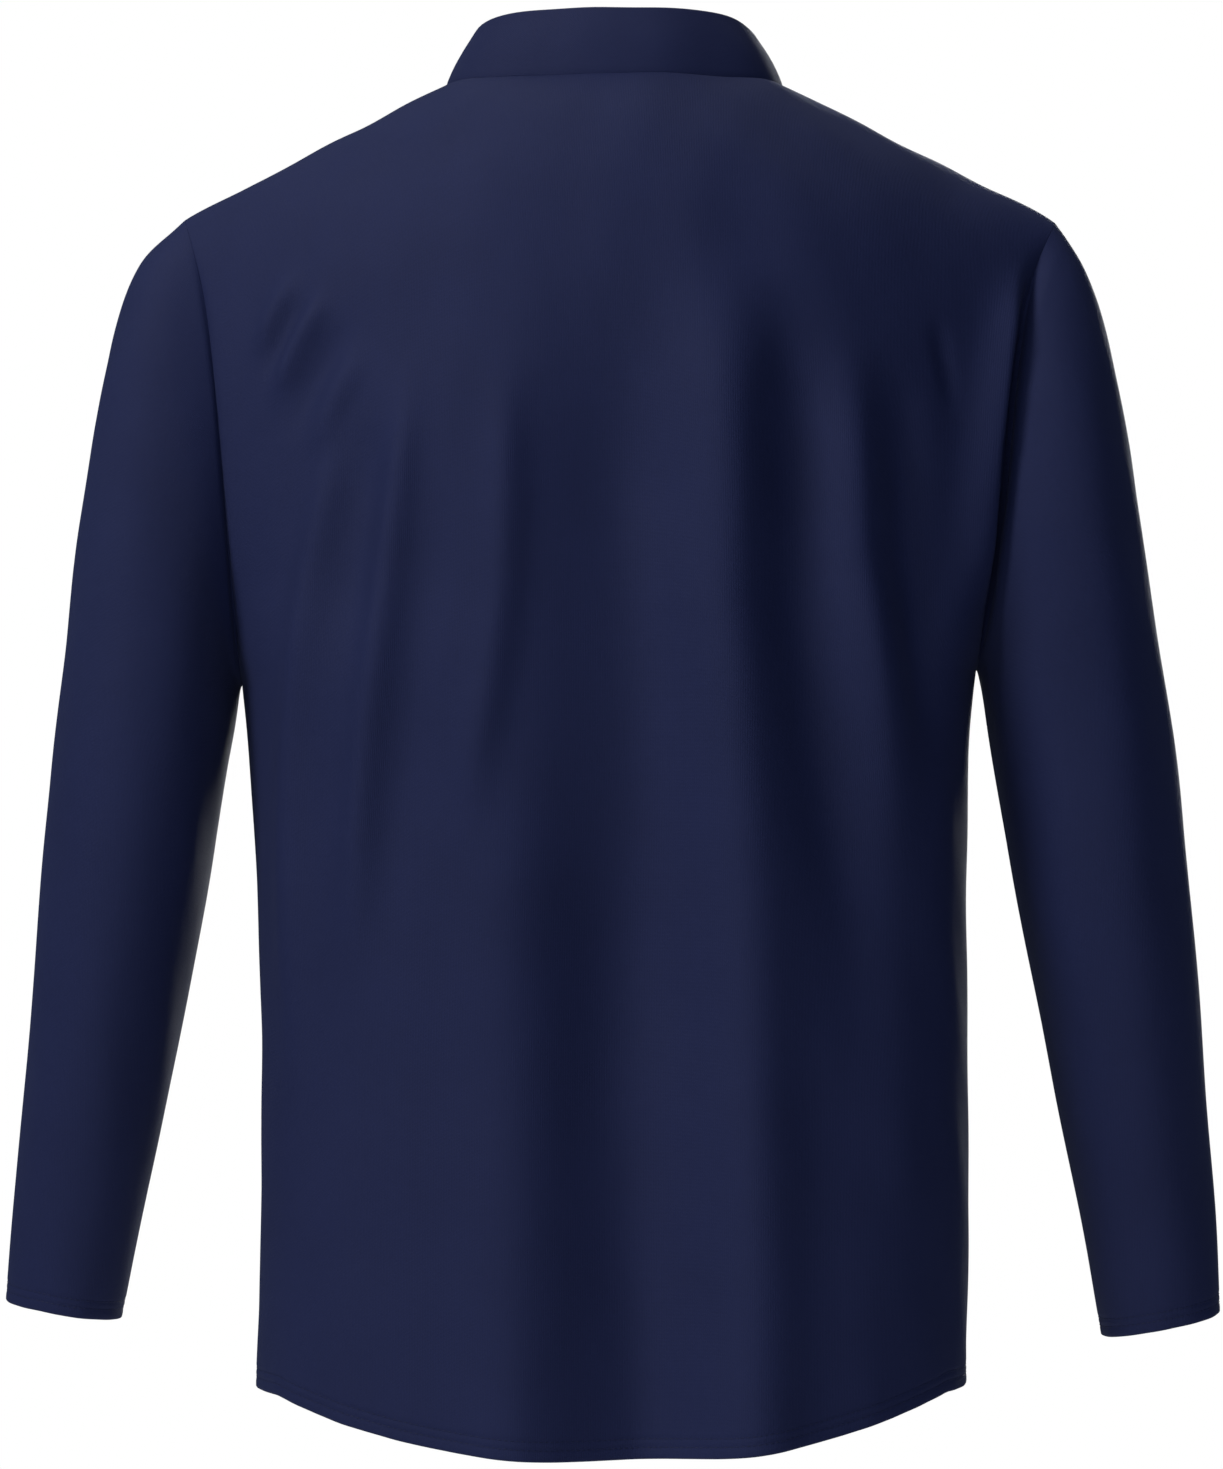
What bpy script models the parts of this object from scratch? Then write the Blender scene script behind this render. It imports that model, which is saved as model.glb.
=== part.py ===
"""A long-sleeved knit top with a short stand-up collar, hollow, in the shape that it has when worn.

Metres, +Z up. The front faces -Y and the back +Y, and the wearer's left is +X. The origin is in the middle
of the neck opening, where the collar is sewn on and the top is carried.

The outer skin of the whole garment comes first, as one grid of points for each piece, and pieces that are
sewn together share their seam points. Each piece is then pulled back a little from its seams and given the
cloth's thickness, inwards.
"""

import math
from collections import defaultdict, namedtuple

import bmesh
import bpy
import numpy as np

# The cloth
CLOTH = 0.0015  # one layer of brushed knit
DOUBLED = 2 * CLOTH  # where it is turned up or folded
TURN_UP = 0.012  # height of the hem and cuff turn-ups
TURN_STEP = 0.0006  # the turn-up's inner edge slopes over this height
SEAM_GAP = 0.0003
LEAST_SINE = 0.3  # below this angle between a seam and its outward direction, the next point's is used

# Neckline, where the collar is sewn on
NECK_X = -0.001
NECK_HALF_WIDTH = 0.088
NECK_Z = -0.0022  # height of the neck ends of the shoulder seams
NECK_DROP = {"back": 0.0023, "front": 0.040}  # how much lower the neckline is at the middle

# Collar: its top edge, which leans forward and is lower in front
COLLAR_HALF_WIDTH = 0.0735
COLLAR_HALF_DEPTH = 0.061
COLLAR_FORWARD = 0.009
COLLAR_SIDE_Z = 0.0286
COLLAR_RISE = {"back": 0.0024, "front": -0.030}  # from the sides to the middle
COLLAR_SQUARE = 0.75  # under 1 is squarer than an ellipse
COLLAR_BULGE = 0.0015  # how far the band bows out between its edges

# Armholes: the shoulder tip at the top and the underarm point at the bottom, on each side
Armhole = namedtuple("Armhole", "tip_x tip_z under_x under_z")
ARMHOLES = {
    "left": Armhole(tip_x=0.231, tip_z=-0.0765, under_x=0.1995, under_z=-0.327),
    "right": Armhole(tip_x=0.239, tip_z=-0.0775, under_x=0.1955, under_z=-0.320),
}
ARMHOLE_DEPTH = {"back": 0.048, "front": 0.044}
ARMHOLE_SCOOP = {"back": 0.0, "front": 0.006}  # how far the seam is cut in towards the chest
ARMHOLE_SQUARE = 0.78  # under 1 is squarer than an ellipse
TIP_FLARE = 0.44  # share of the armhole's slant that lies close to the shoulder tip
TIP_FLARE_POWER = 6

# Side seams, from the hem up to the underarm
SideSeam = namedtuple("SideSeam", "z left right")
SIDE_SEAMS = (
    SideSeam(-0.705, 0.1917, 0.1912),
    SideSeam(-0.600, 0.1903, 0.1906),
    SideSeam(-0.500, 0.1896, 0.1900),
    SideSeam(-0.420, 0.1918, 0.1902),
    SideSeam(-0.357, 0.1958, 0.1922),
    SideSeam(-0.320, 0.1995, 0.1955),
)
HEM_Z = {"left": -0.7045, "right": -0.7025}
HEM_DIP = {"back": 0.0285, "front": 0.022}  # the tails hang lower than the side seams
HEM_DIP_SHARE = 0.93  # share of the half width that the dip takes
HEM_DIP_POWER = 2.2

# How far the middle of the back and of the front stand out from the side seams' plane
Fullness = namedtuple("Fullness", "z back front")
FULLNESS = (
    Fullness(-0.735, 0.117, 0.109),
    Fullness(-0.600, 0.113, 0.110),
    Fullness(-0.500, 0.111, 0.113),
    Fullness(-0.400, 0.115, 0.120),
    Fullness(-0.300, 0.122, 0.127),
    Fullness(-0.220, 0.124, 0.127),
    Fullness(-0.150, 0.120, 0.119),
    Fullness(-0.100, 0.112, 0.107),
    Fullness(-0.050, 0.101, 0.091),
    Fullness(-0.000, 0.090, 0.072),
)
SECTION_POWER = 2.3  # 2 is an ellipse, and more is squarer
ARMHOLE_WRAP = 0.12  # how much less the panels wrap round the sides at the shoulder
SHOULDER_ROUND = 0.105  # height over which the shoulders round off
NECK_RIDGE = 0.0225  # the shoulder lines round over this far above the neck opening
ROUND_POWER = 2.2

# The largest folds, as soft ridges (height above 0) and troughs (below 0). Those that run over the hem end
# below it.
Fold = namedtuple("Fold", "panel top_x top_z low_x low_z half_width height")
FOLDS = (
    Fold("back", -0.005, -0.095, -0.023, -0.930, 0.045, -0.0070),
    Fold("back", -0.056, -0.100, -0.109, -0.930, 0.028, 0.0055),
    Fold("back", -0.094, -0.110, -0.150, -0.580, 0.027, -0.0045),
    Fold("back", 0.056, -0.130, 0.076, -0.460, 0.017, 0.0025),
    Fold("front", -0.016, -0.120, -0.031, -0.930, 0.040, -0.0060),
    Fold("front", -0.074, -0.140, -0.088, -0.930, 0.026, 0.0045),
    Fold("front", 0.058, -0.150, 0.080, -0.930, 0.028, 0.0045),
)
FOLD_FADE = 0.22  # share of a fold's length over which each end dies away

# Sleeves: the outer and inner edges of each section, half its depth and how far forward it hangs
Station = namedtuple("Station", "outer_x outer_z inner_x inner_z half_depth forward")
SLEEVES = {
    "left": (
        Station(0.2310, -0.0765, 0.1995, -0.3270, 0.048, 0.000),
        Station(0.2550, -0.0990, 0.2010, -0.3288, 0.057, 0.000),
        Station(0.2690, -0.1365, 0.2020, -0.3330, 0.062, -0.001),
        Station(0.2785, -0.1850, 0.2031, -0.3405, 0.065, -0.002),
        Station(0.2863, -0.2400, 0.2052, -0.3540, 0.066, -0.003),
        Station(0.2947, -0.3080, 0.2092, -0.3760, 0.064, -0.003),
        Station(0.3030, -0.3800, 0.2152, -0.4080, 0.060, -0.001),
        Station(0.3102, -0.4500, 0.2248, -0.4640, 0.054, 0.005),
        Station(0.3176, -0.5250, 0.2391, -0.5360, 0.047, 0.015),
        Station(0.3253, -0.5950, 0.2541, -0.6060, 0.039, 0.027),
        Station(0.3321, -0.6634, 0.2692, -0.6733, 0.033, 0.037),
    ),
    "right": (
        Station(0.2390, -0.0775, 0.1955, -0.3200, 0.048, 0.000),
        Station(0.2540, -0.1030, 0.1972, -0.3220, 0.057, 0.000),
        Station(0.2655, -0.1375, 0.1985, -0.3270, 0.062, -0.001),
        Station(0.2748, -0.1850, 0.2001, -0.3365, 0.065, -0.002),
        Station(0.2840, -0.2400, 0.2025, -0.3520, 0.066, -0.003),
        Station(0.2948, -0.3080, 0.2065, -0.3750, 0.064, -0.003),
        Station(0.3047, -0.3800, 0.2128, -0.4100, 0.060, -0.001),
        Station(0.3127, -0.4500, 0.2232, -0.4650, 0.054, 0.005),
        Station(0.3198, -0.5250, 0.2386, -0.5390, 0.047, 0.015),
        Station(0.3255, -0.5950, 0.2527, -0.6100, 0.039, 0.027),
        Station(0.3310, -0.6699, 0.2665, -0.6831, 0.033, 0.037),
    ),
}
ARMHOLE_BLEND = 0.30  # share of the sleeve over which the armhole's shape dies away

# Fineness of the grids
NECK_COLUMNS = 6  # in each quarter of the neckline
SHOULDER_COLUMNS = 9  # along each shoulder seam
NECK_SHARE = 0.30  # share of a half panel's columns that end at the neckline
ARMHOLE_ROWS = 10  # up each armhole seam
SIDE_ROWS = 9  # up each side seam, above the turn-up
SLEEVE_ROWS = 14  # from the armhole to the cuff's turn-up
COLLAR_ROWS = 4

SIDES = {"left": 1, "right": -1}  # the sign of x
PANELS = {"back": 1, "front": -1}  # the sign of y


def smooth(table, key, column, at):
    """The value of a table's column at a key between its rows, on a smooth curve through them all."""
    keys = np.array([getattr(row, key) for row in table])
    values = np.array([getattr(row, column) for row in table])
    return smooth_curve(keys, values, at)


def smooth_curve(keys, values, at):
    """The same for plain lists of keys and values."""
    slopes = np.gradient(values, keys)
    at = min(max(at, keys[0]), keys[-1])
    i = min(int(np.searchsorted(keys, at, side="right")) - 1, len(keys) - 2)
    span = keys[i + 1] - keys[i]
    f = (at - keys[i]) / span
    start = (1 + 2 * f) * (1 - f) ** 2 * values[i] + f * (1 - f) ** 2 * span * slopes[i]
    end = f * f * (3 - 2 * f) * values[i + 1] - f * f * (1 - f) * span * slopes[i + 1]
    return start + end


def ease(f):
    """0 to 1 with level ends."""
    f = min(max(f, 0.0), 1.0)
    return f * f * (3 - 2 * f)


def neckline(side, panel, turn):
    """A point of the neckline: turn is 0 at the shoulder seam and 1 at the panel's middle."""
    angle = turn * math.pi / 2
    x = NECK_X + SIDES[side] * NECK_HALF_WIDTH * math.cos(angle)
    z = NECK_Z - NECK_DROP[panel] * math.sin(angle) ** 2
    return np.array([x, PANELS[panel] * form_depth(side, panel, x, z, ARMHOLES[side].tip_x, 1), z])


def armhole(side, panel, angle):
    """A point of the armhole seam: angle is 0 at the shoulder tip and pi at the underarm."""
    hole = ARMHOLES[side]
    rise = (1 + math.cos(angle)) / 2
    slant = (1 - TIP_FLARE) * rise + TIP_FLARE * rise**TIP_FLARE_POWER
    x = hole.under_x + (hole.tip_x - hole.under_x) * slant
    x -= ARMHOLE_SCOOP[panel] * math.sin(angle) ** 2
    y = PANELS[panel] * ARMHOLE_DEPTH[panel] * math.sin(angle) ** ARMHOLE_SQUARE
    z = hole.under_z + (hole.tip_z - hole.under_z) * rise
    return np.array([SIDES[side] * x, y, z])


def shoulder_seam(side, share):
    """A point of the shoulder seam, from the neckline to the shoulder tip."""
    neck = neckline(side, "back", 0)
    tip = armhole(side, "back", 0)
    return neck + (tip - neck) * share


def top_edge(side, panel, across):
    """A point of a panel's top edge: across is 0 at its middle, NECK_SHARE at the neck and 1 at the tip."""
    if across <= NECK_SHARE:
        return neckline(side, panel, 1 - across / NECK_SHARE)
    return shoulder_seam(side, (across - NECK_SHARE) / (1 - NECK_SHARE))


def section(across, up):
    """How far a panel stands out, as a share of its fullness, at a share of its half width.

    up is 0 at the underarm and below, and 1 at the shoulder, where the panel wraps less round the side.
    """
    wrap = 1 - ARMHOLE_WRAP * ease(up)
    cut_off = (1 - wrap**SECTION_POWER) ** (1 / SECTION_POWER)
    bow = max(1 - (wrap * across) ** SECTION_POWER, 0.0) ** (1 / SECTION_POWER)
    return (bow - cut_off) / (1 - cut_off)


def ridge_z(side, x):
    """The height where the curve over the shoulder reaches the plane of the side seams."""
    hole = ARMHOLES[side]
    inside = abs(x - NECK_X) / NECK_HALF_WIDTH
    if inside < 1:
        return NECK_Z + NECK_RIDGE * (1 - inside**2)
    slope = (hole.tip_z - NECK_Z) / (hole.tip_x - SIDES[side] * NECK_X - NECK_HALF_WIDTH)
    return NECK_Z + slope * NECK_HALF_WIDTH * (inside - 1)


def form_depth(side, panel, x, z, edge_x, up):
    """How far a panel stands out from the plane of the side seams, before its armhole is cut.

    edge_x is half the width of the panel at this height, and up is as for the section.
    """
    bow = section(abs(x) / edge_x, up)
    below = min(max(ridge_z(side, x) - z, 0.0) / SHOULDER_ROUND, 1.0)
    rounding = (1 - (1 - below) ** ROUND_POWER) ** (1 / ROUND_POWER)
    full = smooth(FULLNESS, "z", panel, z) + fold_height(panel, x, z) * (1 - up**4)
    return full * bow * rounding


def fold_height(panel, x, z):
    """How far the folds move the cloth out at this place of a panel."""
    height = 0.0
    for fold in FOLDS:
        share = (fold.top_z - z) / (fold.top_z - fold.low_z)
        if fold.panel != panel or not 0 < share < 1:
            continue
        middle = fold.top_x + (fold.low_x - fold.top_x) * share
        across = (x - middle) / fold.half_width
        ends = ease(share / FOLD_FADE) * ease((1 - share) / FOLD_FADE)
        height += fold.height * math.exp(-across * across) * ends
    return height


def panel_point(side, panel, across, rise, edges):
    """A point of the front or back.

    across is 0 at the panel's middle and 1 at its side, rise is 0 at the underarm and 1 at the shoulder, or
    under 0 down to -1 at the hem, and edges are this row's points on both side seams or armholes.
    """
    edge = edges[side]
    tips = {s: armhole(s, panel, 0) for s in SIDES}
    top = top_edge(side, panel, across)
    spread = math.sin(across * math.pi / 2)
    up = max(rise, 0.0)
    x = edge[0] * spread + up**2 * (top[0] - tips[side][0] * spread)
    z = level(side, edges, spread) + up * (top[2] - level(side, tips, spread))
    z -= max(-rise, 0.0) * HEM_DIP[panel] * max(1 - (spread / HEM_DIP_SHARE) ** HEM_DIP_POWER, 0.0)
    bow = section(abs(x / edge[0]), up)
    y = form_depth(side, panel, x, z, abs(edge[0]), up) + abs(edge[1]) * (1 - bow) ** 2
    return np.array([x, PANELS[panel] * y, z])


def level(side, edges, spread):
    """The height of a row between its two edges, which differ a little."""
    middle = (edges["left"][2] + edges["right"][2]) / 2
    return middle + (edges[side][2] - middle) * spread**2


def row_of_side(side, panel, rise):
    """The point where a row of a panel meets the side seam or the armhole."""
    hole = ARMHOLES[side]
    if rise > 0:
        return armhole(side, panel, math.acos(2 * rise - 1))
    z = hole.under_z + (HEM_Z[side] - hole.under_z) * -rise
    return np.array([SIDES[side] * smooth(SIDE_SEAMS, "z", side, z), 0.0, z])


def panel_columns():
    """The columns of a half panel, from its middle to its side."""
    neck = np.linspace(0, NECK_SHARE, NECK_COLUMNS + 1)
    shoulder = np.linspace(NECK_SHARE, 1, SHOULDER_COLUMNS + 1)
    return np.concatenate([neck, shoulder[1:]])


def panel_rises():
    """The rows of a panel from its hem to its shoulder, with two at the turn-up's inner edge."""
    length = ARMHOLES["left"].under_z - HEM_Z["left"]
    turn = TURN_UP / length
    step = (TURN_UP + TURN_STEP) / length
    below = np.linspace(-1 + step, 0, SIDE_ROWS + 1)
    above = [(1 + math.cos(a)) / 2 for a in np.linspace(math.pi, 0, ARMHOLE_ROWS + 1)]
    return np.concatenate([[-1, -1 + turn], below, above[1:]])


def panel_grid(panel):
    """Rows from the hem up, each running so that the panel faces out."""
    columns = panel_columns()
    first, second = ("left", "right") if panel == "back" else ("right", "left")
    grid = []
    for rise in panel_rises():
        edges = {side: row_of_side(side, panel, rise) for side in SIDES}
        row = [panel_point(first, panel, c, rise, edges) for c in columns[::-1]]
        row += [panel_point(second, panel, c, rise, edges) for c in columns[1:]]
        grid.append(row)
    return np.array(grid)


def sleeve_point(side, along, angle):
    """A point of a sleeve: along is 0 at the armhole and 1 at the cuff, and angle as for the armhole."""
    stations = SLEEVES[side]
    keys = np.linspace(0, 1, len(stations))
    here = Station(*(smooth_curve(keys, np.array(c), along) for c in zip(*stations)))
    panel = "back" if math.sin(angle) >= 0 else "front"
    seam = armhole(side, panel, math.acos(math.cos(angle)))
    turn = (1 + math.cos(angle)) / 2
    deep = PANELS[panel] * abs(math.sin(angle)) ** (ARMHOLE_SQUARE + (1 - ARMHOLE_SQUARE) * along)
    start = stations[0]
    bow = abs(seam[0]) - start.inner_x - (start.outer_x - start.inner_x) * turn
    fade = 1 - ease(along / ARMHOLE_BLEND)
    x = here.inner_x + (here.outer_x - here.inner_x) * turn + fade * bow
    y = deep * here.half_depth - here.forward + fade * (seam[1] - deep * start.half_depth)
    z = here.inner_z + (here.outer_z - here.inner_z) * turn
    return np.array([SIDES[side] * x, y, z])


def sleeve_alongs(side):
    """The rows of a sleeve from the armhole to the cuff, with two at the turn-up's inner edge."""
    last, cuff = SLEEVES[side][-2:]
    station_length = last.outer_z - cuff.outer_z
    share = 1 / (len(SLEEVES[side]) - 1)
    turn = 1 - share * TURN_UP / station_length
    step = 1 - share * (TURN_UP + TURN_STEP) / station_length
    return np.concatenate([np.linspace(0, step, SLEEVE_ROWS + 1), [turn, 1]])


def sleeve_grid(side):
    """Rows from the armhole to the cuff, closed round, each running so that the sleeve faces out."""
    angles = -SIDES[side] * np.linspace(0, 2 * math.pi, 2 * ARMHOLE_ROWS, endpoint=False)
    return np.array([[sleeve_point(side, t, a) for a in angles] for t in sleeve_alongs(side)])


def collar_grid():
    """Rows from the neckline to the top edge, closed round."""
    quarter = np.linspace(0, 1, NECK_COLUMNS + 1)
    turns = [("back", "left", t) for t in quarter]
    turns += [("back", "right", t) for t in quarter[-2::-1]]
    turns += [("front", "right", t) for t in quarter[1:]]
    turns += [("front", "left", t) for t in quarter[-2:0:-1]]
    grid = []
    for share in np.linspace(0, 1, COLLAR_ROWS + 1):
        row = []
        for panel, side, turn in turns:
            base = neckline(side, panel, turn)
            angle = turn * math.pi / 2
            deep = math.sin(angle) ** COLLAR_SQUARE
            out = np.array([SIDES[side] * math.cos(angle), PANELS[panel] * deep, 0.0])
            top = out * np.array([COLLAR_HALF_WIDTH, COLLAR_HALF_DEPTH, 0.0])
            z = COLLAR_SIDE_Z + COLLAR_RISE[panel] * math.sin(angle) ** 2
            top += np.array([NECK_X, -COLLAR_FORWARD, z])
            bulge = COLLAR_BULGE * math.sin(math.pi * share)
            row.append(base + (top - base) * share + out * bulge)
        grid.append(row)
    return np.array(grid)


def key(point):
    """The same for points of two pieces that are sewn together."""
    return tuple(int(c) for c in np.round(point * 1e6))


def unit(vector):
    """The vector at length 1."""
    return vector / np.linalg.norm(vector)


def skin_normals(grids, closed):
    """The outward direction at each point of the whole garment, shared across its seams.

    Each face counts by its angle at the point, so both sides of a seam count alike.
    """
    total = defaultdict(lambda: np.zeros(3))
    for name, grid in grids.items():
        rows, columns = grid.shape[:2]
        for i in range(rows - 1):
            for j in range(columns if closed[name] else columns - 1):
                near, far = j, (j + 1) % columns
                corners = [grid[i, near], grid[i, far], grid[i + 1, far], grid[i + 1, near]]
                facing = unit(np.cross(corners[2] - corners[0], corners[3] - corners[1]))
                for k, corner in enumerate(corners):
                    ahead = unit(corners[(k + 1) % 4] - corner)
                    behind = unit(corners[k - 1] - corner)
                    angle = math.acos(min(max(np.dot(ahead, behind), -1.0), 1.0))
                    total[key(corner)] += facing * angle
    return {place: unit(normal) for place, normal in total.items()}


def sewn_edge(grid, closed):
    """The rows and columns along the grid's sewn edge, in order, with the piece always on the same hand."""
    rows, columns = grid.shape[:2]
    if closed:
        return [(0, j % columns) for j in range(columns, -1, -1)]
    up = [(i, 0) for i in range(rows)]
    over = [(rows - 1, j) for j in range(1, columns)]
    down = [(i, columns - 1) for i in range(rows - 2, -1, -1)]
    return up + over + down


def pulled_back(grid, normals, closed):
    """The grid with its sewn edge moved half a seam gap into the piece, mitred where the edge turns."""
    moved = grid.copy()
    edge = sewn_edge(grid, closed)
    steps = defaultdict(list)
    for here, there in zip(edge, edge[1:]):
        along = unit(grid[there] - grid[here])
        for end, other in ((here, there), (there, here)):
            inward = np.cross(along, normals[end])
            if np.linalg.norm(inward) < LEAST_SINE:
                inward = np.cross(along, normals[other])
            steps[end].append(unit(inward))
    for place, found in steps.items():
        first, last = found[0], found[-1]
        moved[place] += (first + last) / (1 + np.dot(first, last)) * SEAM_GAP / 2
    return moved


def cloth(name, grid, skin, thickness, closed, colour):
    """One piece of cloth: its outer grid, the same grid moved inwards, and a rim along its open edges."""
    normals = np.array([[skin[key(p)] for p in row] for row in grid])
    outer = pulled_back(grid, normals, closed)
    inner = outer - normals * np.array(thickness)[:, None, None]
    rows, columns = grid.shape[:2]
    shape = bmesh.new()
    out = [[shape.verts.new(p) for p in row] for row in outer]
    ins = [[shape.verts.new(p) for p in row] for row in inner]
    spans = columns if closed else columns - 1
    for i in range(rows - 1):
        for j in range(spans):
            k = (j + 1) % columns
            shape.faces.new([out[i][j], out[i][k], out[i + 1][k], out[i + 1][j]])
            shape.faces.new([ins[i][k], ins[i][j], ins[i + 1][j], ins[i + 1][k]])
    for j in range(spans):
        k = (j + 1) % columns
        shape.faces.new([ins[0][j], ins[0][k], out[0][k], out[0][j]])
        shape.faces.new([out[-1][j], out[-1][k], ins[-1][k], ins[-1][j]])
    if not closed:
        for i in range(rows - 1):
            shape.faces.new([out[i][0], out[i + 1][0], ins[i + 1][0], ins[i][0]])
            shape.faces.new([ins[i][-1], ins[i + 1][-1], out[i + 1][-1], out[i][-1]])
    mesh = bpy.data.meshes.new(name)
    shape.to_mesh(mesh)
    shape.free()
    mesh.shade_smooth()
    mesh.set_sharp_from_angle(angle=math.radians(40))
    mesh.materials.append(knit(name, colour))
    piece = bpy.data.objects.new(name, mesh)
    bpy.context.scene.collection.objects.link(piece)
    return piece


def knit(name, colour):
    """Brushed navy knit: matt, with a faint sheen."""
    material = bpy.data.materials.new(name + "_knit")
    material.use_nodes = True
    surface = material.node_tree.nodes["Principled BSDF"]
    surface.inputs["Base Color"].default_value = (*colour, 1.0)
    surface.inputs["Roughness"].default_value = 0.85
    surface.inputs["Metallic"].default_value = 0.0
    return material


NAVY = (0.018, 0.022, 0.056)
COLLAR_NAVY = (0.017, 0.021, 0.053)

for old in list(bpy.data.objects):
    bpy.data.objects.remove(old, do_unlink=True)

grids = {
    "back": panel_grid("back"),
    "front": panel_grid("front"),
    "sleeve_left": sleeve_grid("left"),
    "sleeve_right": sleeve_grid("right"),
    "collar": collar_grid(),
}
closed = {name: name not in PANELS for name in grids}
skin = skin_normals(grids, closed)

for name in PANELS:
    layers = [DOUBLED, DOUBLED] + [CLOTH] * (len(grids[name]) - 2)
    cloth(name, grids[name], skin, layers, False, NAVY)
for name in ("sleeve_left", "sleeve_right"):
    layers = [CLOTH] * (len(grids[name]) - 2) + [DOUBLED, DOUBLED]
    cloth(name, grids[name], skin, layers, True, NAVY)
cloth("collar", grids["collar"], skin, [DOUBLED] * len(grids["collar"]), True, COLLAR_NAVY)
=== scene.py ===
"""A navy long-sleeved knit top with a short stand-up collar, filled out as worn, seen from behind."""

import math
from collections import defaultdict, namedtuple

import bpy
import numpy as np
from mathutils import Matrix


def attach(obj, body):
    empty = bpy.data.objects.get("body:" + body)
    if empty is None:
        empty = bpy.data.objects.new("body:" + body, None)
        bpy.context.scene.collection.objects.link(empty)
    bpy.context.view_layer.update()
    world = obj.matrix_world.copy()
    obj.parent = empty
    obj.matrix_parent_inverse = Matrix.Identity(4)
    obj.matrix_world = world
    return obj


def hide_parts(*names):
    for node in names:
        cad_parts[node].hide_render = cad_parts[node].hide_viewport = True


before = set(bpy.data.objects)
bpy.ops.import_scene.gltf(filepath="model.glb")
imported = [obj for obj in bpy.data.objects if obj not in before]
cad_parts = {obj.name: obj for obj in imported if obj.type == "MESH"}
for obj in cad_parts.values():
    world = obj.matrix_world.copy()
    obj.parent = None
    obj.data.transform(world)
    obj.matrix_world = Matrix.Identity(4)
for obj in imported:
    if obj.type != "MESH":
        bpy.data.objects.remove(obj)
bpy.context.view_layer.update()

# BACK AND FRONT
# Each is one panel of brushed knit, cut from the curved tail hem up to the armholes, the shoulders and the
# neck, and sewn to the other with overlocked side and shoulder seams. The hem is turned up 12 mm inside.
TURN_UP = 0.012

NECK_X = -0.001
NECK_HALF_WIDTH = 0.0915
NECK_SIDE_Z = {"left": -0.0040, "right": -0.0039}
NECK_MIDDLE_Z = {"back": -0.0045, "front": -0.0422}
NECK_RIDGE_Z = 0.0203  # how high the curve over the shoulders would run across the open neck

Armhole = namedtuple("Armhole", "tip_x tip_z under_x under_z")
ARMHOLES = {
    "left": Armhole(tip_x=0.231, tip_z=-0.0765, under_x=0.1995, under_z=-0.327),
    "right": Armhole(tip_x=0.239, tip_z=-0.0775, under_x=0.1955, under_z=-0.320),
}
ARMHOLE_DEPTH = {"back": 0.048, "front": 0.044}
ARMHOLE_SCOOP = {"back": 0.0, "front": 0.006}  # how far in it is cut at half its height
ARMHOLE_SQUARE = 0.78  # 1 is an ellipse seen from the side, and less is squarer
ARMHOLE_REACH = 0.1  # the smaller, the further in from the seam its depth is felt
TIP_REACH_POWER = 2  # the same, over the upper half
LEAST_DEPTH = 0.000001
TIP_FLARE = 0.44  # share of the armhole's slant that lies near the shoulder tip
TIP_FLARE_POWER = 6

SideSeam = namedtuple("SideSeam", "z left right")
SIDE_SEAMS = (
    SideSeam(-0.705, 0.1917, 0.1912),
    SideSeam(-0.600, 0.1903, 0.1906),
    SideSeam(-0.500, 0.1896, 0.1900),
    SideSeam(-0.420, 0.1918, 0.1902),
    SideSeam(-0.357, 0.1958, 0.1922),
    SideSeam(-0.320, 0.1995, 0.1955),
)
HEM_Z = {"left": -0.7045, "right": -0.7025}
HEM_DIP = {"back": 0.0285, "front": 0.022}
HEM_DIP_SHARE = 0.93  # share of the hem's width that the curved tail takes up
HEM_DIP_POWER = 2.2

Fullness = namedtuple("Fullness", "z back front")
FULLNESS = (
    Fullness(-0.735, 0.117, 0.109),
    Fullness(-0.600, 0.113, 0.110),
    Fullness(-0.500, 0.111, 0.113),
    Fullness(-0.400, 0.115, 0.120),
    Fullness(-0.300, 0.122, 0.127),
    Fullness(-0.220, 0.124, 0.127),
    Fullness(-0.150, 0.120, 0.119),
    Fullness(-0.100, 0.112, 0.107),
    Fullness(-0.050, 0.101, 0.091),
    Fullness(0.000, 0.090, 0.072),
)
SECTION_POWER = 2.3  # 2 is an ellipse seen from above, and more is squarer
ARMHOLE_WRAP = 0.12  # how much of the section's round edge the armhole takes away
WRAP_SETTLE = 0.2  # share of the armhole's height over which the wrap sets in
SHOULDER_ROUND = 0.105  # how far below the shoulder line the cloth is still rounded
ROUND_POWER = 2.2

NECK_COLUMNS = 22  # in each quarter of the neckline
SHOULDER_COLUMNS = 42
NECK_SHARE = 0.30  # share of a half panel's top edge that is neckline
ARMHOLE_ROWS = 64
SIDE_ROW = 0.0034
HEM_ROW = 0.0009  # the rows lie closer over the turn-up
EDGE_SHARES = (0.15, 0.35, 0.60, 0.80)  # extra rows between a seam and the next row

SIDES = {"left": 1, "right": -1}  # the sign of x
PANELS = {"back": 1, "front": -1}  # the sign of y


def ease(f):
    """0 to 1 with level ends."""
    f = np.clip(f, 0.0, 1.0)
    return f * f * (3 - 2 * f)


def curve(keys, values, at):
    """A smooth curve through values at rising keys."""
    keys, values = np.array(keys, float), np.array(values, float)
    slopes = np.gradient(values, keys)
    at = np.clip(at, keys[0], keys[-1])
    i = np.clip(np.searchsorted(keys, at, side="right") - 1, 0, len(keys) - 2)
    span = keys[i + 1] - keys[i]
    f = (at - keys[i]) / span
    start = (1 + 2 * f) * (1 - f) ** 2 * values[i] + f * (1 - f) ** 2 * span * slopes[i]
    end = f * f * (3 - 2 * f) * values[i + 1] - f * f * (1 - f) * span * slopes[i + 1]
    return start + end


def column(table, name, at):
    """One column of a table of heights, on a smooth curve."""
    return curve([row.z for row in table], [getattr(row, name) for row in table], at)


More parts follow.
